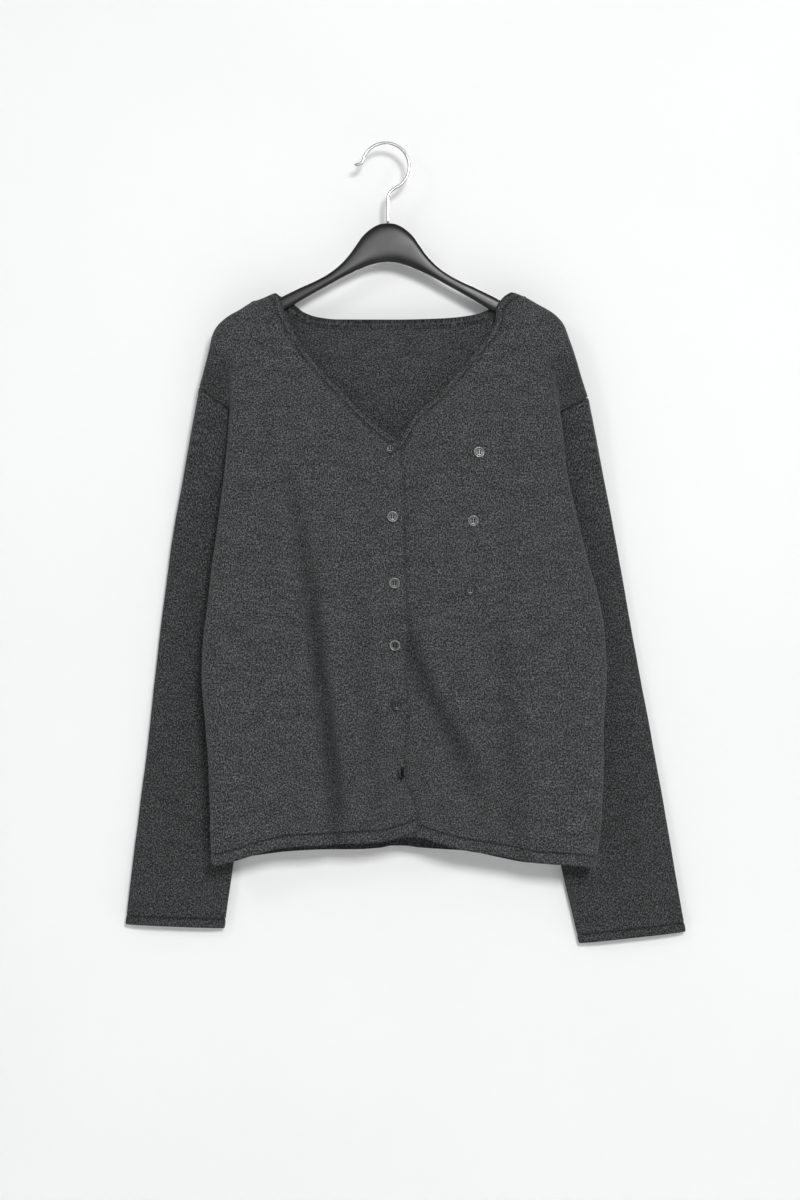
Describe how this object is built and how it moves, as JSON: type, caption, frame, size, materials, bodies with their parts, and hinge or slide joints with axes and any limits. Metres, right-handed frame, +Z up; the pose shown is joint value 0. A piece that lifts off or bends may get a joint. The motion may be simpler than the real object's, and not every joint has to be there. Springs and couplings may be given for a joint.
{
  "type": "button cardigan on hanger",
  "caption": "Fine-knit V-neck cardigan with long sleeves, dropped shoulders and a buttoned front, hanging flat on a moulded hanger with a wire hook.",
  "frame": {"origin": "the point under the top of the hook that rests on the rod, on the garment's middle plane", "axes": "+Z up, -Y out of the garment's front, +X towards the wearer's left"},
  "size_m": [0.5971, 0.0736, 0.8504],
  "materials": {
    "knit": "charcoal melange fine knit, brushed, matte",
    "band": "the same knit, doubled and stitched down as an edge binding",
    "button": "smoky dark resin, four holes, glossy raised rim",
    "hanger": "moulded plastic, satin",
    "hook": "bright plated steel wire"
  },
  "bodies": {
    "root": {"front_right": "knit", "front_left": "knit", "back": "knit", "sleeve_right": "knit", "sleeve_left": "knit", "neck_band_right": "band", "neck_band_left": "band", "neck_band_back": "band", "button_1": "button", "button_2": "button", "button_3": "button", "button_4": "button", "button_5": "button", "button_6": "button", "button_deco_1": "button", "button_deco_2": "button", "button_deco_3": "button", "hanger_body": "hanger", "hanger_hook": "hook"}
  },
  "joints": []
}
